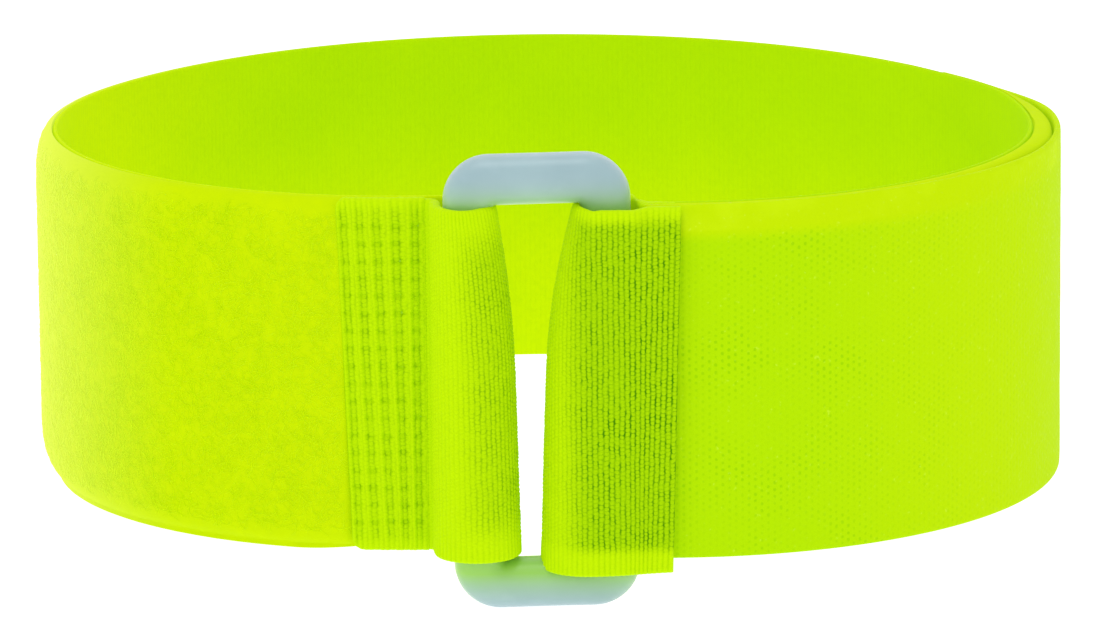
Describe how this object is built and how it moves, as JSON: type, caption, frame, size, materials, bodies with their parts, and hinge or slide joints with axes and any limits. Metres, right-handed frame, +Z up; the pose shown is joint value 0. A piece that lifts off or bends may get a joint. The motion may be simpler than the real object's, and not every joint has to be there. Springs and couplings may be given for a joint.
{
  "type": "cinch wristband",
  "caption": "Hook-and-loop wristband: a loop strap cinched through a rectangular plastic ring, closed by a hook tape tail that peels open.",
  "frame": {"origin": "middle of the band's bounding box, in the middle of the wrist opening and halfway up the strap", "axes": "+Z up along the wrist, -Y towards the ring at the front, +X towards the side that the hook tape covers"},
  "size_m": [0.0743, 0.0642, 0.032],
  "materials": {
    "strap_weave": "matt ribbed weave",
    "loop_pile": "brushed loop pile",
    "weld": "fused yarn",
    "hook_tape_weave": "matt fine weave",
    "hooks": "translucent monofilament",
    "ring_plastic": "satin milky plastic"
  },
  "bodies": {
    "band": {"strap_band": "strap_weave", "loop_pile": "loop_pile", "anchor_fold": "strap_weave", "anchor_weld": "weld", "cinch_fold": "strap_weave"},
    "ring": {"buckle_ring": "ring_plastic"},
    "tail_front": {"strap_tab": "strap_weave", "tab_weld": "weld", "hook_tape_front": "hook_tape_weave", "hooks_front": "hooks"},
    "tail_side": {"hook_tape_side": "hook_tape_weave", "hooks_side": "hooks"},
    "tail_tip": {"hook_tape_tip": "hook_tape_weave", "hooks_tip": "hooks"}
  },
  "joints": [
    {"name": "ring_swivel", "type": "hinge", "parent": "band", "child": "ring", "pos_m": [-0.0052, -0.029, 0], "axis": [0, 0, -1], "range_deg": [-2.5, 2.5]},
    {"name": "tail_peel", "type": "hinge", "parent": "band", "child": "tail_front", "pos_m": [0.00275, -0.0322, 0], "axis": [0, 0, -1], "range_deg": [0, 150]},
    {"name": "side_peel", "type": "hinge", "parent": "tail_front", "child": "tail_side", "pos_m": [0.02891, -0.02301, 0], "axis": [0, 0, -1], "range_deg": [0, 45]},
    {"name": "tip_peel", "type": "hinge", "parent": "tail_side", "child": "tail_tip", "pos_m": [0.03709, -0.00053, 0], "axis": [0, 0, -1], "range_deg": [0, 45]}
  ]
}
